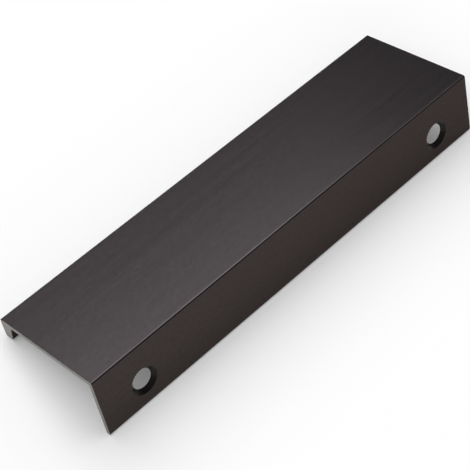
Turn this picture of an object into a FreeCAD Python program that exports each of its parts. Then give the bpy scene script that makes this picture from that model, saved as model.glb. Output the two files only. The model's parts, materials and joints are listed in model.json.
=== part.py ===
import FreeCAD, Part
import math
import os

import Sketcher

# Finger pull profile for the top edge of a cabinet door or drawer front.
# One length of extruded aluminium: a flat plate that covers the panel's edge, a thick
# lip that hangs from the plate's front for the fingers, and a flange that hangs behind
# the panel and is screwed to it through countersunk holes.
#
# The section is drawn as the profile is fitted: Y runs from the flange's outer face to
# the lip, Z runs up from the plate's top face, and X runs along the length. The finished
# length is then set down the way it rests by itself on a level floor, on the feet of the
# flange and the lip, with the floor at Z = 0 and the origin under its middle.

SIZES = [
    ("profile_length", 160.0, "length that the profile is cut to"),
    ("plate_depth", 42.0, "flange's outer face to the lip's outer face"),
    ("plate_wall", 1.4, "thickness of the top plate"),
    ("flange_height", 22.0, "plate's top face to the flange's foot"),
    ("flange_wall", 1.4, "thickness of the flange"),
    ("lip_height", 7.0, "plate's top face to the lip's foot"),
    ("lip_foot_width", 3.2, "thickness of the lip at its foot"),
    ("lip_root_width", 4.6, "thickness of the lip where it meets the plate"),
    ("ridge_radius", 0.6, "rounding of the edge where the plate meets the flange"),
    ("edge_radius", 0.4, "rounding of the plate's front edge and the flange's foot"),
    ("lip_foot_radius", 0.7, "rounding of the lip's foot"),
    ("flange_root_radius", 0.5, "fillet between the flange and the plate"),
    ("lip_root_radius", 1.0, "fillet between the lip and the plate"),
    ("hole_from_end", 16.0, "each sawn end to the nearest screw hole's centre"),
    ("hole_drop", 13.4, "plate's top face to the screw holes' centres"),
    ("hole_diameter", 6.8, "clear hole for the screw"),
    ("countersink_diameter", 9.4, "countersink at the flange's outer face"),
    ("countersink_angle", 90.0, "included angle of the countersink, in degrees"),
]

# Corners of the section, in order round it.
CORNERS = [
    "back_edge",
    "front_edge",
    "lip_foot_front",
    "lip_foot_back",
    "lip_root",
    "flange_root",
    "flange_foot_front",
    "flange_foot_back",
]
EDGE_CORNERS = ["front_edge", "flange_foot_front", "flange_foot_back"]
LIP_FOOT_CORNERS = ["lip_foot_front", "lip_foot_back"]


def make_sheet(doc):
    """The driving dimensions, one row each: name, value and what it measures."""
    sheet = doc.addObject("Spreadsheet::Sheet", "Sizes")
    for row, (name, value, meaning) in enumerate(SIZES, start=1):
        sheet.set("A%d" % row, name)
        sheet.set("B%d" % row, str(value))
        sheet.set("C%d" % row, meaning)
        sheet.setAlias("B%d" % row, name)
    doc.recompute()
    return sheet


def origin_plane(body, role):
    for feature in body.Origin.OriginFeatures:
        if feature.Role == role:
            return feature
    raise ValueError("the body has no plane " + role)


def attached_sketch(body, name, role):
    sketch = body.newObject("Sketcher::SketchObject", name)
    sketch.AttachmentSupport = [(origin_plane(body, role), "")]
    sketch.MapMode = "FlatFace"
    return sketch


def section_corners(sheet):
    """Where each corner of the section lies, as (Y, Z), before it is rounded."""
    front = sheet.plate_depth
    underside = -sheet.plate_wall
    places = [
        (0, 0),
        (front, 0),
        (front, -sheet.lip_height),
        (front - sheet.lip_foot_width, -sheet.lip_height),
        (front - sheet.lip_root_width, underside),
        (sheet.flange_wall, underside),
        (sheet.flange_wall, -sheet.flange_height),
        (0, -sheet.flange_height),
    ]
    return {
        name: FreeCAD.Vector(y, z, 0) for name, (y, z) in zip(CORNERS, places)
    }


def draw_section(body, sheet):
    """The closed outline of plate, lip and flange, held by the sheet's sizes."""
    sketch = attached_sketch(body, "Section", "YZ_Plane")
    places = section_corners(sheet)
    side = {}
    for here, there in zip(CORNERS, CORNERS[1:] + CORNERS[:1]):
        line = Part.LineSegment(places[here], places[there])
        side[here] = sketch.addGeometry(line, False)

    start, end, root_point = 1, 2, -1
    for here, there in zip(CORNERS, CORNERS[1:] + CORNERS[:1]):
        sketch.addConstraint(
            Sketcher.Constraint("Coincident", side[here], end, side[there], start)
        )
    sketch.addConstraint(
        Sketcher.Constraint("Coincident", side["back_edge"], start, root_point, 1)
    )
    for level in ("back_edge", "lip_foot_front", "lip_root", "flange_foot_front"):
        sketch.addConstraint(Sketcher.Constraint("Horizontal", side[level]))
    for upright in ("front_edge", "flange_root", "flange_foot_back"):
        sketch.addConstraint(Sketcher.Constraint("Vertical", side[upright]))

    def measure(kind, first, second, size):
        gap = places[second] - places[first]
        length = abs(gap.x if kind == "DistanceX" else gap.y)
        ends = (side[first], start, side[second], start)
        if (gap.x if kind == "DistanceX" else gap.y) < 0:
            ends = (side[second], start, side[first], start)
        number = sketch.addConstraint(Sketcher.Constraint(kind, *ends, length))
        sketch.renameConstraint(number, size)
        sketch.setExpression("Constraints." + size, "Sizes." + size)

    measure("DistanceX", "back_edge", "front_edge", "plate_depth")
    measure("DistanceY", "front_edge", "lip_foot_front", "lip_height")
    measure("DistanceX", "lip_foot_front", "lip_foot_back", "lip_foot_width")
    measure("DistanceX", "front_edge", "lip_root", "lip_root_width")
    measure("DistanceY", "front_edge", "lip_root", "plate_wall")
    measure("DistanceX", "back_edge", "flange_root", "flange_wall")
    measure("DistanceY", "back_edge", "flange_foot_back", "flange_height")
    return sketch


def long_edge(shape, place):
    """Name of the edge that runs the whole length through a corner of the section."""
    for number, edge in enumerate(shape.Edges, start=1):
        first, last = edge.Vertexes[0].Point, edge.Vertexes[-1].Point
        runs_along = abs(first.x - last.x) > 1e-3
        off_corner = math.hypot(first.y - place.x, first.z - place.y)
        if runs_along and off_corner < 1e-6:
            return "Edge%d" % number
    raise ValueError("no edge runs along the corner at %s" % place)


def round_corners(body, name, corners, places, radius):
    base = body.Tip
    fillet = body.newObject("PartDesign::Fillet", name)
    fillet.Base = (base, [long_edge(base.Shape, places[c]) for c in corners])
    fillet.setExpression("Radius", "Sizes." + radius)
    body.Document.recompute()
    return fillet


def make_profile(doc, sheet):
    """The extruded length with its rounded edges and its screw holes, as fitted."""
    body = doc.addObject("PartDesign::Body", "PullProfile")
    body.Label = "pull_profile"

    bar = body.newObject("PartDesign::Pad", "Extrusion")
    bar.Profile = draw_section(body, sheet)
    bar.SideType = "Symmetric"
    bar.setExpression("Length", "Sizes.profile_length")
    doc.recompute()

    places = section_corners(sheet)
    round_corners(body, "Ridge", ["back_edge"], places, "ridge_radius")
    round_corners(body, "OuterEdges", EDGE_CORNERS, places, "edge_radius")
    round_corners(body, "LipFoot", LIP_FOOT_CORNERS, places, "lip_foot_radius")
    round_corners(body, "FlangeRoot", ["flange_root"], places, "flange_root_radius")
    round_corners(body, "LipRoot", ["lip_root"], places, "lip_root_radius")
    drill_flange(body)
    return body


def drill_flange(body):
    """Screw holes through the flange, countersunk from its outer face."""
    sketch = attached_sketch(body, "HoleCentres", "XZ_Plane")
    centre_point, root_point, vertical_axis = 3, -1, -2
    circles = []
    for way in (-1, 1):
        circle = Part.Circle(
            FreeCAD.Vector(way * 10, -10, 0), FreeCAD.Vector(0, 0, 1), 1
        )
        circles.append(sketch.addGeometry(circle, False))
    left, right = circles
    sketch.addConstraint(
        Sketcher.Constraint(
            "Symmetric", left, centre_point, right, centre_point, vertical_axis
        )
    )
    sketch.addConstraint(Sketcher.Constraint("Equal", left, right))

    def hold(name, formula, *place):
        number = sketch.addConstraint(Sketcher.Constraint(*place))
        sketch.renameConstraint(number, name)
        sketch.setExpression("Constraints." + name, formula)

    pitch = "Sizes.profile_length - 2 * Sizes.hole_from_end"
    hold("hole_pitch", pitch, "DistanceX", left, centre_point, right, centre_point, 20.0)
    hold("hole_drop", "Sizes.hole_drop", "DistanceY", left, centre_point, root_point, 1, 10.0)
    hold("hole_diameter", "Sizes.hole_diameter", "Diameter", left, 2.0)
    body.Document.recompute()

    before = body.Tip.Shape.Volume
    hole = body.newObject("PartDesign::Hole", "ScrewHoles")
    hole.Profile = sketch
    body.Document.recompute()
    hole.DepthType = "ThroughAll"
    hole.HoleCutType = "Countersink"
    hole.HoleCutCustomValues = True
    hole.setExpression("Diameter", "Sizes.hole_diameter")
    hole.setExpression("HoleCutDiameter", "Sizes.countersink_diameter")
    hole.setExpression("HoleCutCountersinkAngle", "Sizes.countersink_angle")
    body.Document.recompute()
    if hole.Shape.Volume > before - 1:
        raise ValueError("the screw holes took nothing away")
    return hole


def resting_tilt(sheet):
    """How far the plate leans towards the lip, in degrees, with both feet on the floor.

    The floor touches two rounded corners, so it is the line under both their circles.
    """
    places = section_corners(sheet)
    heel, toe = sheet.edge_radius, sheet.lip_foot_radius
    flange_centre = places["flange_foot_front"] + FreeCAD.Vector(-heel, heel, 0)
    lip_centre = places["lip_foot_front"] + FreeCAD.Vector(-toe, toe, 0)
    across = lip_centre - flange_centre
    slope = math.atan2(across.y, across.x)
    return math.degrees(slope - math.asin((toe - heel) / across.Length))


def set_down(body, sheet):
    """Lets the profile rest on the flange's foot and the lip's foot, on the floor."""
    tilt = resting_tilt(sheet)
    leaning = FreeCAD.Rotation(FreeCAD.Vector(1, 0, 0), -tilt)
    body.Placement = FreeCAD.Placement(FreeCAD.Vector(0, 0, 0), leaning)
    body.Document.recompute()
    extent = body.Shape.optimalBoundingBox(False, False)
    to_origin = FreeCAD.Vector(
        -(extent.XMin + extent.XMax) / 2, -(extent.YMin + extent.YMax) / 2, -extent.ZMin
    )
    body.Placement = FreeCAD.Placement(to_origin, leaning)
    body.Document.recompute()
    print("tilt %.3f degrees, moved by %s" % (tilt, to_origin))


def write_part(doc, body):
    for item in doc.Objects:
        if "Invalid" in item.State or "Error" in item.State:
            raise ValueError("%s failed: %s" % (item.Name, item.State))
    shape = body.Shape
    if shape.isNull() or not shape.isValid() or len(shape.Solids) != 1:
        raise ValueError("%s isn't one valid solid" % body.Label)
    os.makedirs("parts", exist_ok=True)
    shape.exportStep("parts/%s.step" % body.Label)
    box = shape.optimalBoundingBox(False, False)
    print(
        "%s: %.3f x %.3f x %.3f mm, %.1f mm3"
        % (body.Label, box.XLength, box.YLength, box.ZLength, shape.Volume)
    )


doc = FreeCAD.newDocument("FingerPull")
sheet = make_sheet(doc)
profile = make_profile(doc, sheet)
set_down(profile, sheet)
write_part(doc, profile)
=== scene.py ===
# %% [markdown]
# # A finger pull profile, dressed
#
# The real product is one short length of extruded aluminium. A flat plate covers the edge
# of a cabinet door, a thick lip along the plate's front is what the fingers pull, and a
# flange along its back is screwed behind the door. It is brushed, drilled and anodised
# black, and sawn to length last, so that only its ends are bare metal.
#
# It lies as it comes to rest on a table, on the feet of its flange and its lip. The packed
# model already has every size and the place where it rests. This notebook gives it the
# surfaces that a hand and an eye would notice.

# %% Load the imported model
import json
import math

import bmesh
import bpy
from mathutils import Matrix, Vector


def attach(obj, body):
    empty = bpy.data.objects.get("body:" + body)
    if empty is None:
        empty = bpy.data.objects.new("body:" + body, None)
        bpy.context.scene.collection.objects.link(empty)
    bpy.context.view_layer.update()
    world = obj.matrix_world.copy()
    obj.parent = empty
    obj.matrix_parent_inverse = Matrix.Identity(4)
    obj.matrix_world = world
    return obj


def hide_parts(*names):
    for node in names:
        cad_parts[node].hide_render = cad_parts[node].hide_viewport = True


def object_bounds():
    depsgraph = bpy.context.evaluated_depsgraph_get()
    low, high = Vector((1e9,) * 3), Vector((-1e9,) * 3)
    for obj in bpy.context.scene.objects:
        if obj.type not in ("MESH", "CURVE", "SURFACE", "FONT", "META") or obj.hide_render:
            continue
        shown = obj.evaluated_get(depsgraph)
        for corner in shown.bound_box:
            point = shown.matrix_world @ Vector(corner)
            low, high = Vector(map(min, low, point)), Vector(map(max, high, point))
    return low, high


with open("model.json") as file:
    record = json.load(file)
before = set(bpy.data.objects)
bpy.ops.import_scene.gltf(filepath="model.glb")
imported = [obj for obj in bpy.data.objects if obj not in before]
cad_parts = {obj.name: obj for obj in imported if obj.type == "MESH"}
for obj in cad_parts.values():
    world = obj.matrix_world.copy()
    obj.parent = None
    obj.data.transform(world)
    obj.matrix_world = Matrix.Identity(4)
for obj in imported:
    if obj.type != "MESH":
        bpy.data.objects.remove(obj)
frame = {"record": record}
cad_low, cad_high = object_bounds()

MM = 0.001
print("packed model, mm:", [round(side / MM, 2) for side in cad_high - cad_low])

# %% [markdown]
# ## Sizes
#
# The section is drawn as the profile is fitted: Y runs from the flange's outer face to the
# lip, and Z runs up from the plate's top face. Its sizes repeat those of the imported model.
# The length, the screw holes and the lean of the resting profile come from the model
# itself: its box, and the mount that describes the holes.

# %% Sizes of the section
PLATE_DEPTH = 42.0 * MM
PLATE_WALL = 1.4 * MM
FLANGE_HEIGHT = 22.0 * MM
FLANGE_WALL = 1.4 * MM
LIP_HEIGHT = 7.0 * MM
LIP_FOOT_WIDTH = 3.2 * MM
LIP_ROOT_WIDTH = 4.6 * MM

SECTION = {
    "back_edge": (0.0, 0.0),
    "front_edge": (PLATE_DEPTH, 0.0),
    "lip_foot_front": (PLATE_DEPTH, -LIP_HEIGHT),
    "lip_foot_back": (PLATE_DEPTH - LIP_FOOT_WIDTH, -LIP_HEIGHT),
    "lip_root": (PLATE_DEPTH - LIP_ROOT_WIDTH, -PLATE_WALL),
    "flange_root": (FLANGE_WALL, -PLATE_WALL),
    "flange_foot_front": (FLANGE_WALL, -FLANGE_HEIGHT),
    "flange_foot_back": (0.0, -FLANGE_HEIGHT),
}
CORNER_RADII = {
    "back_edge": 0.6 * MM,
    "front_edge": 0.4 * MM,
    "flange_foot_front": 0.4 * MM,
    "flange_foot_back": 0.4 * MM,
    "lip_foot_front": 0.7 * MM,
    "lip_foot_back": 0.7 * MM,
    "flange_root": 0.5 * MM,
    "lip_root": 1.0 * MM,
}
print("corners of the section:", len(SECTION))

# %% Length, holes and lean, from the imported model
screws = next(m for m in frame["record"]["mounts"] if m["name"] == "screw_holes")
flange_way = Vector(screws["axis"])

length = cad_high.x - cad_low.x
hole_pitch = screws["dims"]["pcd_mm"] * MM
hole_radius = screws["dims"]["hole_r_mm"] * MM
lean = math.atan2(flange_way.z, -flange_way.y)
print("length %.1f mm, hole pitch %.1f mm" % (length / MM, hole_pitch / MM))
print("the plate leans %.2f degrees towards the lip" % math.degrees(lean))

HOLE_DROP = 13.4 * MM
COUNTERSINK_RADIUS = 4.7 * MM
COUNTERSINK_DEPTH = COUNTERSINK_RADIUS - hole_radius  # the countersink opens at 90 degrees

# %% [markdown]
# ## The bar
#
# A press pushes hot aluminium through a die, so the whole bar has one section. The eight
# corners of the section make one face, and an extrude along X makes the bar from it. A
# curve with a profile would do as well, but the faces of a mesh can be drilled.

# %% Extrude the section
TOUCH = 0.001 * MM  # points that are closer than this count as one
VERT = bmesh.types.BMVert
EDGE = bmesh.types.BMEdge


def only(kind, items):
    """The vertices, or the edges, among what an operator has made."""
    return [item for item in items if isinstance(item, kind)]


def extruded_bar():
    bar = bmesh.new()
    section = [bar.verts.new((-length / 2, y, z)) for y, z in SECTION.values()]
    end = bar.faces.new(section)
    grown = bmesh.ops.extrude_face_region(bar, geom=[end])["geom"]
    bmesh.ops.translate(bar, verts=only(VERT, grown), vec=(length, 0, 0))
    bmesh.ops.recalc_face_normals(bar, faces=bar.faces)
    return bar


def is_closed(bar):
    return all(edge.is_manifold for edge in bar.edges)


bar = extruded_bar()
print("bar:", len(bar.faces), "faces, closed:", is_closed(bar))

# %% [markdown]
# ## The rounded corners
#
# A die has no sharp corners, and the thin bright line along the plate's edge in any light
# is the rounding there. Arcs in the section would make it too, but a bevel of each long
# edge needs only one number for each corner. The operator wants the distance from the edge
# to where the rounding starts, so it is worked out from the corner's radius and the angle
# between its two faces. The two inner corners are fillets of the same kind.

# %% Round the long edges
ROUNDING_SEGMENTS = 8


def bevel_edges(bar, edges, reach, segments):
    """Rounds each edge off, starting this far from it on both of its faces."""
    bmesh.ops.bevel(
        bar,
        geom=edges,
        offset=reach,
        offset_type="OFFSET",
        segments=segments,
        profile=0.5,
        affect="EDGES",
        material=-1,
    )


def round_corner(bar, corner, radius):
    y, z = SECTION[corner]
    along = [
        edge
        for edge in bar.edges
        if all(math.hypot(v.co.y - y, v.co.z - z) < TOUCH for v in edge.verts)
    ]
    turn = along[0].calc_face_angle()
    bevel_edges(bar, along, radius * math.tan(turn / 2), ROUNDING_SEGMENTS)


for corner, radius in CORNER_RADII.items():
    round_corner(bar, corner, radius)
print("rounded bar:", len(bar.faces), "faces")

# %% [markdown]
# ## The screw holes
#
# Each hole is drilled through the flange and countersunk from its outer face, so that the
# screw's head sits flush. A boolean would leave long thin faces round each hole, which
# shade badly. Here a square patch is cut out of each face of the flange instead, and its
# border is drawn in to a ring: to the rim of the countersink on the outer face, to the
# bare hole on the inner one. From the rim, rings go down the cone and through the hole
# until they meet the ring on the other face.

# %% Cut a square patch out of each face of the flange
RING_POINTS = 96
PATCH_REACH = 6.0 * MM
STRAIGHT_ON = 0.999  # a face points along Y when this much of its normal does


def cut_all_round(bar, hole_x):
    """Cuts the flange's two faces along the four sides of a square round the hole."""
    for side in (-PATCH_REACH, PATCH_REACH):
        bmesh.ops.bisect_plane(
            bar,
            geom=bar.verts[:] + bar.edges[:] + bar.faces[:],
            dist=TOUCH,
            plane_co=(hole_x + side, 0, 0),
            plane_no=(1, 0, 0),
        )
    for side in (-PATCH_REACH, PATCH_REACH):
        strips = [
            face
            for face in bar.faces
            if abs(face.normal.y) > STRAIGHT_ON
            and abs(face.calc_center_median().x - hole_x) < PATCH_REACH
            and face.calc_center_median().y < FLANGE_WALL + TOUCH
        ]
        edges = {edge for face in strips for edge in face.edges}
        verts = {vert for face in strips for vert in face.verts}
        bmesh.ops.bisect_plane(
            bar,
            geom=list(verts) + list(edges) + strips,
            dist=TOUCH,
            plane_co=(0, 0, side - HOLE_DROP),
            plane_no=(0, 0, 1),
        )


def open_patch(bar, hole_x, depth):
    """Takes out the square face at this depth and returns its finely divided border."""
    middle = Vector((hole_x, depth, -HOLE_DROP))
    patch = min(bar.faces, key=lambda face: (face.calc_center_median() - middle).length)
    border = list(patch.edges)
    bmesh.ops.delete(bar, geom=[patch], context="FACES_ONLY")
    cuts = RING_POINTS // len(border) - 1
    divided = bmesh.ops.subdivide_edges(bar, edges=border, cuts=cuts)
    return only(EDGE, divided["geom"])


# %% Draw the patches in to rings, and go down through the flange
def turn_on_square(across, up):
    """The angle that spreads even steps along a square's sides evenly round a circle."""
    if abs(across) > abs(up):
        return (0 if across > 0 else math.pi) + math.pi / 4 * up / across
    return math.copysign(math.pi / 2, up) - math.pi / 4 * across / up


def turn_on_circle(across, up):
    return math.atan2(up, across)


def grow_ring(bar, edges, hole_x, depth, radius, turn=turn_on_circle):
    """Grows faces from a loop of edges to a ring round the hole, and returns the ring."""
    grown = bmesh.ops.extrude_edge_only(bar, edges=edges)["geom"]
    for vert in only(VERT, grown):
        angle = turn(vert.co.x - hole_x, vert.co.z + HOLE_DROP)
        vert.co = (
            hole_x + radius * math.cos(angle),
            depth,
            radius * math.sin(angle) - HOLE_DROP,
        )
    return only(EDGE, grown)


def drill(bar, hole_x):
    cut_all_round(bar, hole_x)
    outer = open_patch(bar, hole_x, 0)
    inner = open_patch(bar, hole_x, FLANGE_WALL)
    rim = grow_ring(bar, outer, hole_x, 0, COUNTERSINK_RADIUS, turn_on_square)
    throat = grow_ring(bar, rim, hole_x, COUNTERSINK_DEPTH, hole_radius)
    grow_ring(bar, throat, hole_x, FLANGE_WALL, hole_radius)
    grow_ring(bar, inner, hole_x, FLANGE_WALL, hole_radius, turn_on_square)
    bmesh.ops.remove_doubles(bar, verts=bar.verts, dist=TOUCH)


for hole_x in (-hole_pitch / 2, hole_pitch / 2):
    drill(bar, hole_x)
bmesh.ops.recalc_face_normals(bar, faces=bar.faces)
print("drilled bar:", len(bar.faces), "faces, closed:", is_closed(bar))

# %% [markdown]
# ## The small edges
#
# No cut edge on a real part is perfectly sharp. The saw and the countersink are followed
# by a light pass that breaks the edge, at most a tenth of a millimetre wide. It is too
# small to see as a shape, but it catches the light as a fine line, which is how the eye
# knows that the part is metal. A Bevel modifier has one width for all edges, and these
# have three, so the operator takes one kind of edge at a time.

# %% Break the edges that tools have cut
SAWN_BREAK = 0.08 * MM
RIM_BREAK = 0.1 * MM
BACK_RIM_BREAK = 0.04 * MM
BREAK_SEGMENTS = 3


def from_hole(point):
    """How far a point lies from the nearest hole's axis."""
    return math.hypot(abs(point.x) - hole_pitch / 2, point.z + HOLE_DROP)


def on_rim(vert, depth, radius):
    return abs(vert.co.y - depth) < TOUCH and abs(from_hole(vert.co) - radius) < TOUCH


for depth, radius, width in (
    (0, COUNTERSINK_RADIUS, RIM_BREAK),
    (FLANGE_WALL, hole_radius, BACK_RIM_BREAK),
):
    rim = [edge for edge in bar.edges if all(on_rim(v, depth, radius) for v in edge.verts)]
    bevel_edges(bar, rim, width, BREAK_SEGMENTS)

outlines = [
    edge
    for edge in bar.edges
    if all(abs(abs(v.co.x) - length / 2) < TOUCH for v in edge.verts)
]
bevel_edges(bar, outlines, SAWN_BREAK, BREAK_SEGMENTS)
print("finished bar:", len(bar.faces), "faces, closed:", is_closed(bar))

# %% [markdown]
# ## Where belts and hands rub
#
# The oxide is thinnest on the rounded long edges, and belts, cloths and hands polish it
# there first. Each point gets a number for that: 1 in the middle of a rounding, 0 where
# the rounding meets a flat face and everywhere else. The finish of the edges reads it as
# an attribute and turns paler there. The shader can find edges by itself, with Pointiness,
# but that depends on how finely the mesh is divided, and this number doesn't.

# %% Mark the worn edges
OUTER_CORNERS = ("back_edge", "front_edge", "lip_foot_front", "flange_foot_back")
MOSTLY_WORN = 0.5
wear = bar.verts.layers.float.new("edge_wear")


def wear_at(point):
    """1 in the middle of the nearest outer rounding, 0 at its ends and beyond."""
    most = 0.0
    for corner in OUTER_CORNERS:
        y, z = SECTION[corner]
        radius = CORNER_RADII[corner]
        nearest = (math.sqrt(2) - 1) * radius
        reach = math.hypot(point.y - y, point.z - z) - nearest
        most = max(most, 1 - reach / (radius - nearest))
    return most


for vert in bar.verts:
    vert[wear] = wear_at(vert.co)
print("points on worn edges:", sum(vert[wear] > MOSTLY_WORN for vert in bar.verts))

# %% [markdown]
# ## Which tool made which surface
#
# The profile has five finishes, and each face belongs to one of them by where it is: the
# sawn ends, the machined holes, the rubbed outer edges, the faces that show on a fitted
# door, which are brushed, and everything else, which is as it came from the die. One
# material with masks could hold all five, but five plain ones are easier to read. Faces
# are sorted while the bar still lies straight, because their normals are plain there.

# %% Sort the faces by finish
FINISHES = ("brushed", "extruded", "rubbed", "machined", "sawn")
BRUSHED, EXTRUDED, RUBBED, MACHINED, SAWN = range(len(FINISHES))
A_LITTLE = 0.01  # a face looks up, or forward, when its normal leans this much that way


def finish_of(face):
    middle = face.calc_center_median()
    if abs(middle.x) > length / 2 - SAWN_BREAK:
        return SAWN
    within_flange = middle.y < FLANGE_WALL - TOUCH
    if within_flange and from_hole(middle) < COUNTERSINK_RADIUS + RIM_BREAK:
        return MACHINED
    if wear_at(middle) > 0:
        return RUBBED
    top_of_plate = middle.z > -PLATE_WALL / 2 and face.normal.z > A_LITTLE
    front_of_lip = middle.y > PLATE_DEPTH - LIP_FOOT_WIDTH / 2 and face.normal.y > A_LITTLE
    return BRUSHED if top_of_plate or front_of_lip else EXTRUDED


for face in bar.faces:
    face.material_index = finish_of(face)
    face.smooth = True
for number, name in enumerate(FINISHES):
    print(name, "faces:", sum(face.material_index == number for face in bar.faces))

# %% [markdown]
# ## A direction for the grain
#
# Brushed metal stretches its highlights across the brushing, and the shader needs to know
# which way that is. A UV map tells it: U runs the way that the tool ran, and V runs across
# it. On the long faces the belt ran along X. In the holes the cutter turned, so there U
# runs round the hole. Unwrapping would lay the faces out in any direction, so the map is
# worked out point by point. It is in metres, so that a pattern can be sized in millimetres.

# %% Map the grain
grain = bar.loops.layers.uv.new("grain")


def round_hole(point, middle):
    """U round the hole, counted from the middle of the face, and V out and down the hole."""
    side = math.copysign(hole_pitch / 2, middle.x)
    start = math.atan2(middle.z + HOLE_DROP, middle.x - side)
    angle = math.atan2(point.z + HOLE_DROP, point.x - side)
    turn = (angle - start + math.pi) % (2 * math.pi) - math.pi
    return hole_radius * (start + turn), from_hole(point) + point.y


for face in bar.faces:
    middle = face.calc_center_median()
    across = Vector((1, 0, 0)).cross(face.normal)
    for loop in face.loops:
        if face.material_index == MACHINED:
            loop[grain].uv = round_hole(loop.vert.co, middle)
        elif face.material_index == SAWN:
            loop[grain].uv = loop.vert.co.y, loop.vert.co.z
        else:
            loop[grain].uv = loop.vert.co.x, loop.vert.co.dot(across)
print("corners with a grain direction:", sum(len(face.loops) for face in bar.faces))

# %% [markdown]
# ## Set it down
#
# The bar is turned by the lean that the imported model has, and moved until its box meets
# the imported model's. The object could be turned instead, but then its patterns would turn
# with it, and the export expects every piece at the origin. So the lean and the place go
# into the mesh. Edges that turn sharply are marked, and weighted normals keep the large
# flat faces flat right up to the small roundings beside them.

# %% Lean the bar, place it and make it an object
SHARP = math.radians(40)


def box_of(bar):
    low = Vector(min(v.co[axis] for v in bar.verts) for axis in range(3))
    high = Vector(max(v.co[axis] for v in bar.verts) for axis in range(3))
    return low, high


bmesh.ops.transform(bar, matrix=Matrix.Rotation(-lean, 4, "X"), verts=bar.verts)
bar_low, bar_high = box_of(bar)
to_place = (cad_low + cad_high - bar_low - bar_high) / 2
bmesh.ops.translate(bar, verts=bar.verts, vec=to_place)
larger = (bar_high - bar_low) - (cad_high - cad_low)
print("larger than the packed box by, mm:", [round(side / MM, 4) for side in larger])

for edge in bar.edges:
    edge.smooth = edge.calc_face_angle() < SHARP

mesh = bpy.data.meshes.new("finger_pull")
bar.to_mesh(mesh)
bar.free()
profile = bpy.data.objects.new("finger_pull", mesh)
bpy.context.scene.collection.objects.link(profile)
flat_faces = profile.modifiers.new("flat_faces", "WEIGHTED_NORMAL")
flat_faces.keep_sharp = True

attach(profile, "root")
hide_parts("pull_profile")

# %% [markdown]
# ## Three helpers for materials
#
# Colours are written as they look on a screen, in hex, and the first helper turns them
# into the linear numbers that the shader works in. The second adds a node: its options
# are set by name, and each input is either a value or the output of another node. The
# third gives a material, or the world, an empty tree of nodes to start from.

# %% Colours and nodes
def linear(hex_colour):
    """An sRGB hex colour as linear red, green, blue and alpha."""
    shares = [int(hex_colour[i : i + 2], 16) / 255 for i in (1, 3, 5)]
    return (*(s / 12.92 if s <= 0.04045 else ((s + 0.055) / 1.055) ** 2.4 for s in shares), 1.0)


def add_node(tree, kind, options=None, inputs=None):
    node = tree.nodes.new(kind)
    for name, value in (options or {}).items():
        setattr(node, name, value)
    for name, value in (inputs or {}).items():
        if isinstance(value, bpy.types.NodeSocket):
            tree.links.new(value, node.inputs[name])
        else:
            node.inputs[name].default_value = value
    return node


def new_tree(owner):
    owner.use_nodes = True
    owner.node_tree.nodes.clear()
    return owner.node_tree


print("mid grey on a screen, in linear light:", round(linear("#808080")[0], 3))

# %% [markdown]
# ## Patterns that run along the bar
#
# Every tool that touched the long faces ran along the bar, so one pattern serves them all:
# a noise on Object coordinates, drawn out along X until its spots are lines. The less it
# is drawn out, the shorter the lines, and where it is as long as it is wide, the lines are
# pits. A pattern gives a number from 0 to 1. A Mix node turns that into a colour between
# two, and a Map Range node into a roughness between two. An image would do too, but it
# would blur when it is seen from close up.

# %% Lines along the bar
def lines_along(tree, place, line_width, line_length, detail):
    """Noise drawn out along the bar, as a number from 0 to 1."""
    stretched = add_node(
        tree,
        "ShaderNodeMapping",
        inputs={
            "Vector": place.outputs["Object"],
            "Scale": (1 / line_length, 1 / line_width, 1 / line_width),
        },
    )
    lines = add_node(
        tree,
        "ShaderNodeTexNoise",
        inputs={"Vector": stretched.outputs["Vector"], "Scale": 1.0, "Detail": detail},
    )
    return lines.outputs["Fac"]


# %% [markdown]
# ## Brushed black anodised aluminium
#
# An abrasive belt leaves long hairlines along the bar with short nicks between them, and
# the anodising grows a hard, dyed oxide layer over both without filling them. The eye sees
# a dark metal with a soft sheen: no clear reflection, but a glow that is drawn out across
# the hairlines. Real hairlines are about 0.05 mm wide, too fine for this picture, so they
# and the nicks are drawn 0.3 and 0.5 mm wide and faint, with a few broader streaks where
# the belt pressed harder. Lines cut into the mesh would need millions of faces, so bump,
# colour and roughness draw them. Polished metal is a mirror when it is seen almost edge
# on. The dyed, porous oxide swallows most of that, and a grey specular tint does the same,
# so that the bar stays black from low down.

# %% Brushed skin
HAIRLINE_WIDTH = 0.3 * MM
HAIRLINE_LENGTH = 30.0 * MM
HAIRLINE_SHARE = 0.35  # the rest of the grain is nicks
NICK_WIDTH = 0.5 * MM
NICK_LENGTH = 1.6 * MM
GRAIN_HEIGHT = 0.003 * MM
STREAK_WIDTH = 2.5 * MM
STREAK_LENGTH = 90.0 * MM
SATIN_TINT = "#aaaaaa"
BUMP_STRENGTH = 0.5
ACROSS_THE_GRAIN = 0.25  # of a full turn, away from the way that the tool ran


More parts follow.
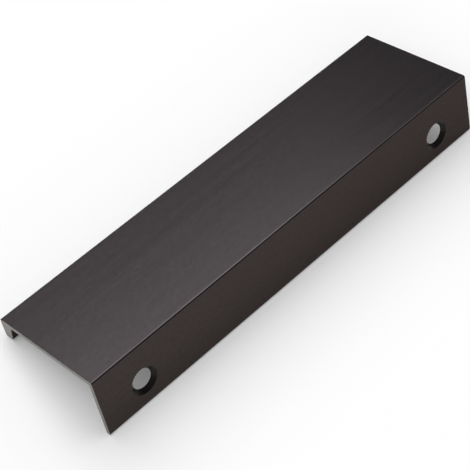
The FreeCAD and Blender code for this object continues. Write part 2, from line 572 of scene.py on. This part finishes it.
def brushed_skin():
    material = bpy.data.materials.new("brushed_black_anodised_aluminium")
    tree = new_tree(material)
    place = add_node(tree, "ShaderNodeTexCoord")
    hairlines = lines_along(tree, place, HAIRLINE_WIDTH, HAIRLINE_LENGTH, detail=3.0)
    nicks = lines_along(tree, place, NICK_WIDTH, NICK_LENGTH, detail=2.0)
    streaks = lines_along(tree, place, STREAK_WIDTH, STREAK_LENGTH, detail=2.0)
    tooth = add_node(
        tree,
        "ShaderNodeMix",
        options={"data_type": "RGBA"},
        inputs={"Factor": HAIRLINE_SHARE, "A": nicks, "B": hairlines},
    )
    dyed = add_node(
        tree,
        "ShaderNodeMix",
        options={"data_type": "RGBA"},
        inputs={
            "Factor": tooth.outputs["Result"],
            "A": linear("#322f30"),
            "B": linear("#514c4e"),
        },
    )
    smoother_in_streaks = add_node(
        tree,
        "ShaderNodeMapRange",
        inputs={"Value": streaks, "To Min": 0.29, "To Max": 0.21},
    )
    relief = add_node(
        tree,
        "ShaderNodeBump",
        inputs={
            "Strength": BUMP_STRENGTH,
            "Distance": GRAIN_HEIGHT,
            "Height": tooth.outputs["Result"],
        },
    )
    along = add_node(
        tree,
        "ShaderNodeTangent",
        options={"direction_type": "UV_MAP", "uv_map": "grain"},
    )
    skin = add_node(
        tree,
        "ShaderNodeBsdfPrincipled",
        inputs={
            "Base Color": dyed.outputs["Result"],
            "Metallic": 1.0,
            "Specular Tint": linear(SATIN_TINT),
            "Roughness": smoother_in_streaks.outputs["Result"],
            "Anisotropic": 0.4,
            "Anisotropic Rotation": ACROSS_THE_GRAIN,
            "Tangent": along.outputs["Tangent"],
            "Normal": relief.outputs["Normal"],
        },
    )
    add_node(tree, "ShaderNodeOutputMaterial", inputs={"Surface": skin.outputs["BSDF"]})
    return material


mesh.materials.append(brushed_skin())
print("finish of the", FINISHES[BRUSHED], "faces:", mesh.materials[BRUSHED].name)

# %% [markdown]
# ## Extruded black anodised aluminium, with painted shade
#
# The faces that nobody sees on a fitted door are anodised as they left the die. The die
# leaves shallow lines along the bar, wider and softer than brushing, and the etching bath
# before the dye pits the metal between them. The pits are far finer than the 0.65 mm that
# they are drawn here. So this finish is rougher than the brushed one, with faint bands
# along it. Its colour is also a little darker and browner, and that is painted shade: it
# stands in for the warm, shaded table that the flange mirrors. The same patterns make it,
# with other sizes, and its sheen has no direction, because the pits outweigh the lines.

# %% Extruded skin
DIE_LINE_WIDTH = 0.9 * MM
DIE_LINE_LENGTH = 300.0 * MM
DIE_LINE_HEIGHT = 0.003 * MM
DIE_LINE_SHARE = 0.35  # the rest of the grain is pits
PIT_WIDTH = 0.65 * MM


def extruded_skin_with_painted_shade():
    material = bpy.data.materials.new("extruded_anodised_aluminium_painted_shade")
    tree = new_tree(material)
    place = add_node(tree, "ShaderNodeTexCoord")
    die_lines = lines_along(tree, place, DIE_LINE_WIDTH, DIE_LINE_LENGTH, detail=4.0)
    pits = lines_along(tree, place, PIT_WIDTH, PIT_WIDTH, detail=2.0)
    tooth = add_node(
        tree,
        "ShaderNodeMix",
        options={"data_type": "RGBA"},
        inputs={"Factor": DIE_LINE_SHARE, "A": pits, "B": die_lines},
    )
    # These two colours are darker and browner than the brushed ones. That is painted shade,
    # standing in for the warm, shaded table that the flange mirrors.
    dyed = add_node(
        tree,
        "ShaderNodeMix",
        options={"data_type": "RGBA"},
        inputs={
            "Factor": tooth.outputs["Result"],
            "A": linear("#332d2c"),
            "B": linear("#4c4543"),
        },
    )
    rougher_in_pits = add_node(
        tree,
        "ShaderNodeMapRange",
        inputs={"Value": pits, "To Min": 0.27, "To Max": 0.35},
    )
    relief = add_node(
        tree,
        "ShaderNodeBump",
        inputs={"Strength": BUMP_STRENGTH, "Distance": DIE_LINE_HEIGHT, "Height": die_lines},
    )
    skin = add_node(
        tree,
        "ShaderNodeBsdfPrincipled",
        inputs={
            "Base Color": dyed.outputs["Result"],
            "Metallic": 1.0,
            "Specular Tint": linear(SATIN_TINT),
            "Roughness": rougher_in_pits.outputs["Result"],
            "Normal": relief.outputs["Normal"],
        },
    )
    add_node(tree, "ShaderNodeOutputMaterial", inputs={"Surface": skin.outputs["BSDF"]})
    return material


mesh.materials.append(extruded_skin_with_painted_shade())
print("finish of the", FINISHES[EXTRUDED], "faces:", mesh.materials[EXTRUDED].name)

# %% [markdown]
# ## Rubbed black anodised edges
#
# The roundings of the long edges are the same anodised metal, but belt, cloth and hand
# have polished them. They mirror the room more sharply than the flat faces do, and that
# gives the ridge its fine bright line with a dark one under it. Where the oxide has worn
# thin, grey metal shows through in faint patches, strongest in the middle of a rounding.
# The edge's own number alone would make an even line, so a patchy noise multiplies it.

# %% Rubbed edges
EDGE_PATCH_WIDTH = 2.5 * MM
EDGE_PATCH_LENGTH = 30.0 * MM
MOST_WORN = 0.4


def worn(tree, patchy):
    """How far the oxide is worn: the edge_wear attribute, where a noise is high."""
    edge = add_node(tree, "ShaderNodeAttribute", options={"attribute_name": "edge_wear"})
    patches = add_node(
        tree,
        "ShaderNodeMapRange",
        inputs={"Value": patchy, "From Min": 0.5, "From Max": 0.7, "To Max": MOST_WORN},
    )
    rubbed = add_node(
        tree,
        "ShaderNodeMath",
        options={"operation": "MULTIPLY"},
        inputs={0: edge.outputs["Fac"], 1: patches.outputs["Result"]},
    )
    return rubbed.outputs["Value"]


def rubbed_skin():
    material = bpy.data.materials.new("rubbed_black_anodised_aluminium")
    tree = new_tree(material)
    place = add_node(tree, "ShaderNodeTexCoord")
    hairlines = lines_along(tree, place, HAIRLINE_WIDTH, HAIRLINE_LENGTH, detail=3.0)
    patches = lines_along(tree, place, EDGE_PATCH_WIDTH, EDGE_PATCH_LENGTH, detail=2.0)
    dyed = add_node(
        tree,
        "ShaderNodeMix",
        options={"data_type": "RGBA"},
        inputs={"Factor": hairlines, "A": linear("#343031"), "B": linear("#504c4e")},
    )
    paler_where_worn = add_node(
        tree,
        "ShaderNodeMix",
        options={"data_type": "RGBA"},
        inputs={
            "Factor": worn(tree, patches),
            "A": dyed.outputs["Result"],
            "B": linear("#787375"),
        },
    )
    smoother_in_patches = add_node(
        tree,
        "ShaderNodeMapRange",
        inputs={"Value": patches, "To Min": 0.18, "To Max": 0.12},
    )
    skin = add_node(
        tree,
        "ShaderNodeBsdfPrincipled",
        inputs={
            "Base Color": paler_where_worn.outputs["Result"],
            "Metallic": 1.0,
            "Specular Tint": linear(SATIN_TINT),
            "Roughness": smoother_in_patches.outputs["Result"],
        },
    )
    add_node(tree, "ShaderNodeOutputMaterial", inputs={"Surface": skin.outputs["BSDF"]})
    return material


mesh.materials.append(rubbed_skin())
print("finish of the", FINISHES[RUBBED], "faces:", mesh.materials[RUBBED].name)

# %% [markdown]
# ## Machined black anodised aluminium
#
# The holes were drilled and countersunk before the dye bath, so they are as black as the
# rest. A cutter that turns leaves fine rings, which draw highlights out along the hole's
# axis. The rings follow V of the grain map, which counts away from the axis and down the
# hole. A feed is regular, so they are a sine of V and not a noise.

# %% Machined holes
CUTTER_STEP = 0.15 * MM
CUTTER_RELIEF = 0.004 * MM


def machined_skin():
    material = bpy.data.materials.new("machined_black_anodised_aluminium")
    tree = new_tree(material)
    grain_map = add_node(tree, "ShaderNodeUVMap", options={"uv_map": "grain"})
    across = add_node(tree, "ShaderNodeSeparateXYZ", inputs={"Vector": grain_map.outputs["UV"]})
    steps = add_node(
        tree,
        "ShaderNodeMath",
        options={"operation": "MULTIPLY"},
        inputs={0: across.outputs["Y"], 1: 2 * math.pi / CUTTER_STEP},
    )
    rings = add_node(
        tree,
        "ShaderNodeMath",
        options={"operation": "SINE"},
        inputs={0: steps.outputs["Value"]},
    )
    relief = add_node(
        tree,
        "ShaderNodeBump",
        inputs={
            "Strength": BUMP_STRENGTH,
            "Distance": CUTTER_RELIEF,
            "Height": rings.outputs["Value"],
        },
    )
    along = add_node(
        tree,
        "ShaderNodeTangent",
        options={"direction_type": "UV_MAP", "uv_map": "grain"},
    )
    skin = add_node(
        tree,
        "ShaderNodeBsdfPrincipled",
        inputs={
            "Base Color": linear("#2b2726"),
            "Metallic": 1.0,
            "Roughness": 0.32,
            "Anisotropic": 0.5,
            "Anisotropic Rotation": ACROSS_THE_GRAIN,
            "Tangent": along.outputs["Tangent"],
            "Normal": relief.outputs["Normal"],
        },
    )
    add_node(tree, "ShaderNodeOutputMaterial", inputs={"Surface": skin.outputs["BSDF"]})
    return material


mesh.materials.append(machined_skin())
print("finish of the", FINISHES[MACHINED], "faces:", mesh.materials[MACHINED].name)

# %% [markdown]
# ## Sawn aluminium
#
# The bar was sawn to length after the dye, so its ends are bare. A circular saw leaves
# shallow arcs, one for each tooth that passed, and between them the torn metal is rough
# and greyer than polished aluminium. The arcs have their centre at the blade's shaft,
# which passed well below the bar. A Wave texture would make them all alike, so they are a
# noise of one number, the distance from the shaft.

# %% Sawn ends
BLADE_CENTRE = (0.0, -90.0 * MM, -95.0 * MM)
TOOTH_MARK = 0.4 * MM
TOOTH_RELIEF = 0.02 * MM
TORN_GRAIN = 0.3 * MM


def saw_arcs(tree, place):
    """Noise that changes only with the distance from the blade's shaft."""
    on_the_cut = add_node(
        tree,
        "ShaderNodeMapping",
        inputs={"Vector": place.outputs["Object"], "Scale": (0, 1, 1)},
    )
    from_shaft = add_node(
        tree,
        "ShaderNodeVectorMath",
        options={"operation": "DISTANCE"},
        inputs={0: on_the_cut.outputs["Vector"], 1: BLADE_CENTRE},
    )
    marks = add_node(
        tree,
        "ShaderNodeMath",
        options={"operation": "MULTIPLY"},
        inputs={0: from_shaft.outputs["Value"], 1: 1 / TOOTH_MARK},
    )
    arcs = add_node(
        tree,
        "ShaderNodeTexNoise",
        options={"noise_dimensions": "1D"},
        inputs={"W": marks.outputs["Value"], "Scale": 1.0, "Detail": 2.0},
    )
    return arcs.outputs["Fac"]


def sawn_metal():
    material = bpy.data.materials.new("sawn_aluminium")
    tree = new_tree(material)
    place = add_node(tree, "ShaderNodeTexCoord")
    arcs = saw_arcs(tree, place)
    torn = lines_along(tree, place, TORN_GRAIN, TORN_GRAIN, detail=3.0)
    bare = add_node(
        tree,
        "ShaderNodeMix",
        options={"data_type": "RGBA"},
        inputs={"Factor": arcs, "A": linear("#7f7d77"), "B": linear("#979590")},
    )
    rougher_where_torn = add_node(
        tree,
        "ShaderNodeMapRange",
        inputs={"Value": torn, "To Min": 0.42, "To Max": 0.62},
    )
    relief = add_node(
        tree,
        "ShaderNodeBump",
        inputs={"Strength": BUMP_STRENGTH, "Distance": TOOTH_RELIEF, "Height": arcs},
    )
    metal = add_node(
        tree,
        "ShaderNodeBsdfPrincipled",
        inputs={
            "Base Color": bare.outputs["Result"],
            "Metallic": 1.0,
            "Roughness": rougher_where_torn.outputs["Result"],
            "Normal": relief.outputs["Normal"],
        },
    )
    add_node(tree, "ShaderNodeOutputMaterial", inputs={"Surface": metal.outputs["BSDF"]})
    return material


mesh.materials.append(sawn_metal())
print("finish of the", FINISHES[SAWN], "faces:", mesh.materials[SAWN].name)

# %% [markdown]
# ## A white table
#
# The product is shown on white, with only a soft shadow. The table is a large matt disc.
# More light would make it white, but it would also wash out the metal. Instead a share of
# the table is plain white for the camera and for reflections. The share is small under
# and beside the profile, so that the shadow stays, and grows with the distance from it.

# %% Distance from the profile, and what is in sight
def from_object(tree):
    """How far a point of the table lies from the box that the profile stands in.

    The box has its middle at the origin, so one corner stands for all four.
    """
    place = add_node(tree, "ShaderNodeTexCoord")
    one_quarter = add_node(
        tree,
        "ShaderNodeVectorMath",
        options={"operation": "ABSOLUTE"},
        inputs={0: place.outputs["Object"]},
    )
    past_corner = add_node(
        tree,
        "ShaderNodeVectorMath",
        options={"operation": "SUBTRACT"},
        inputs={0: one_quarter.outputs["Vector"], 1: (cad_high.x, cad_high.y, 0)},
    )
    outside = add_node(
        tree,
        "ShaderNodeVectorMath",
        options={"operation": "MAXIMUM"},
        inputs={0: past_corner.outputs["Vector"], 1: (0, 0, 0)},
    )
    distance = add_node(
        tree,
        "ShaderNodeVectorMath",
        options={"operation": "LENGTH"},
        inputs={0: outside.outputs["Vector"]},
    )
    return distance.outputs["Value"]


def in_sight(tree):
    """1 for the camera, for reflections and through glass, and 0 for light that bounces."""
    rays = add_node(tree, "ShaderNodeLightPath")
    in_view = rays.outputs["Is Camera Ray"]
    for kind in ("Is Glossy Ray", "Is Transmission Ray"):
        either = add_node(
            tree,
            "ShaderNodeMath",
            options={"operation": "MAXIMUM"},
            inputs={0: in_view, 1: rays.outputs[kind]},
        )
        in_view = either.outputs["Value"]
    return in_view


# %% Table
TABLE_RADIUS = 3.0  # metres
TABLE_SIDES = 96
WHITE_AT_OBJECT = 0.17
WHITE_FAR_OFF = 0.95
FAR_OFF = 45.0 * MM


def white_table():
    material = bpy.data.materials.new("matt_white_table")
    tree = new_tree(material)
    surface = add_node(tree, "ShaderNodeBsdfDiffuse", inputs={"Color": linear("#f7f7f7")})
    studio = add_node(tree, "ShaderNodeEmission", inputs={"Strength": 1.0})
    white = add_node(
        tree,
        "ShaderNodeMapRange",
        options={"interpolation_type": "SMOOTHSTEP"},
        inputs={
            "Value": from_object(tree),
            "From Max": FAR_OFF,
            "To Min": WHITE_AT_OBJECT,
            "To Max": WHITE_FAR_OFF,
        },
    )
    share = add_node(
        tree,
        "ShaderNodeMath",
        options={"operation": "MULTIPLY"},
        inputs={0: in_sight(tree), 1: white.outputs["Result"]},
    )
    mixed = add_node(
        tree,
        "ShaderNodeMixShader",
        inputs={
            0: share.outputs["Value"],
            1: surface.outputs["BSDF"],
            2: studio.outputs["Emission"],
        },
    )
    add_node(tree, "ShaderNodeOutputMaterial", inputs={"Surface": mixed.outputs["Shader"]})
    return material


disc = bmesh.new()
bmesh.ops.create_circle(disc, cap_ends=True, segments=TABLE_SIDES, radius=TABLE_RADIUS)
table_mesh = bpy.data.meshes.new("table")
disc.to_mesh(table_mesh)
disc.free()
table_mesh.materials.append(white_table())
table = bpy.data.objects.new("table", table_mesh)
bpy.context.scene.collection.objects.link(table)
print("table, m:", [round(side, 2) for side in table.dimensions])

# %% [markdown]
# ## A pale room
#
# Dark satin metal shows the room more than its own colour. The room is pale and even, but
# for one dim corner to the front right, which draws a dark line under the bright one on
# the ridge. A photograph of a room would do as well, but two greys are enough for that.

# %% Room
PALE_WALLS = "#a0a0a2"
DIM_CORNER = "#59595b"
DIM_WAY = Vector((0.43, -0.75, 0.50)).normalized()
DIM_REACH = math.radians(12)  # it is fully dim this far round the middle of the corner
DIM_END = math.radians(35)  # and as pale as the walls from here on


def pale_room():
    world = bpy.data.worlds.new("pale_room")
    tree = new_tree(world)
    facing = add_node(tree, "ShaderNodeTexCoord")
    off_corner = add_node(
        tree,
        "ShaderNodeVectorMath",
        options={"operation": "DOT_PRODUCT"},
        inputs={0: facing.outputs["Generated"], 1: DIM_WAY},
    )
    in_corner = add_node(
        tree,
        "ShaderNodeMapRange",
        options={"interpolation_type": "SMOOTHSTEP"},
        inputs={
            "Value": off_corner.outputs["Value"],
            "From Min": math.cos(DIM_END),
            "From Max": math.cos(DIM_REACH),
        },
    )
    walls = add_node(
        tree,
        "ShaderNodeMix",
        options={"data_type": "RGBA"},
        inputs={
            "Factor": in_corner.outputs["Result"],
            "A": linear(PALE_WALLS),
            "B": linear(DIM_CORNER),
        },
    )
    air = add_node(
        tree,
        "ShaderNodeBackground",
        inputs={"Color": walls.outputs["Result"], "Strength": 1.0},
    )
    add_node(tree, "ShaderNodeOutputWorld", inputs={"Surface": air.outputs["Background"]})
    return world


bpy.context.scene.world = pale_room()
print("walls %s, dim corner %s" % (PALE_WALLS, DIM_CORNER))

# %% [markdown]
# ## Lamps
#
# A large scrim stands over the far side of the table. The plate mirrors the scrim's lower
# corner, so it is brightest near the ridge at the near end and falls off towards the far
# end and the lip. A strip overhead draws the rounded ridge as a fine bright line. A softbox
# above the near end fills the shadows. Together they light a white card to about white.
# Small lamps would do that too, but satin metal would show them as hard bright spots.

# %% Scrim, strip and softbox
LAMP_DISTANCE = 1.5  # metres, as are the lamps' sides


def soft_lamp(name, way, sides, radiance):
    """A flat lamp that faces the origin, as bright to look at as radiance says."""
    light = bpy.data.lights.new(name, "AREA")
    light.shape = "RECTANGLE"
    light.size, light.size_y = sides
    light.energy = radiance * math.pi * light.size * light.size_y
    lamp = bpy.data.objects.new(name, light)
    lamp.location = Vector(way).normalized() * LAMP_DISTANCE
    lamp.rotation_euler = lamp.location.to_track_quat("Z", "Y").to_euler()
    bpy.context.scene.collection.objects.link(lamp)
    print("%s: %.1f by %.2f m, %.1f W" % (name, *sides, light.energy))


soft_lamp("far_scrim", way=(0.10, 0.64, 0.76), sides=(1.4, 1.2), radiance=2.45)
soft_lamp("overhead_strip", way=(0.38, 0.10, 0.92), sides=(0.5, 0.95), radiance=2.4)
soft_lamp("near_softbox", way=(-0.55, 0.15, 0.82), sides=(1.0, 1.0), radiance=1.85)

# %% [markdown]
# ## Camera
#
# The photograph was taken from above the near end, with a long lens. The camera's place,
# aim and roll are the ones at which the corners of the real section fall where they do in
# the photograph. Standard view transform shows colours as they are written.

# %% Camera
CAMERA_PLACE = Vector((-202.6, -158.2, 387.8)) * MM
CAMERA_AIM = Vector((-11.3, -4.2, 10.4)) * MM
CAMERA_ROLL = math.radians(7.02)
LENS = 114.7  # millimetres, as is the sensor
SENSOR = 36.0
NEAREST_SEEN = 10 * MM

camera = bpy.data.objects.new("camera", bpy.data.cameras.new("camera"))
camera.data.lens = LENS
camera.data.sensor_width = SENSOR
camera.data.clip_start = NEAREST_SEEN
camera.location = CAMERA_PLACE
level = (CAMERA_AIM - CAMERA_PLACE).to_track_quat("-Z", "Y").to_matrix().to_4x4()
camera.rotation_euler = (level @ Matrix.Rotation(CAMERA_ROLL, 4, "Z")).to_euler()
bpy.context.scene.collection.objects.link(camera)
bpy.context.scene.camera = camera
bpy.context.scene.view_settings.view_transform = "Standard"
print("camera to profile, mm:", round((CAMERA_AIM - CAMERA_PLACE).length / MM))
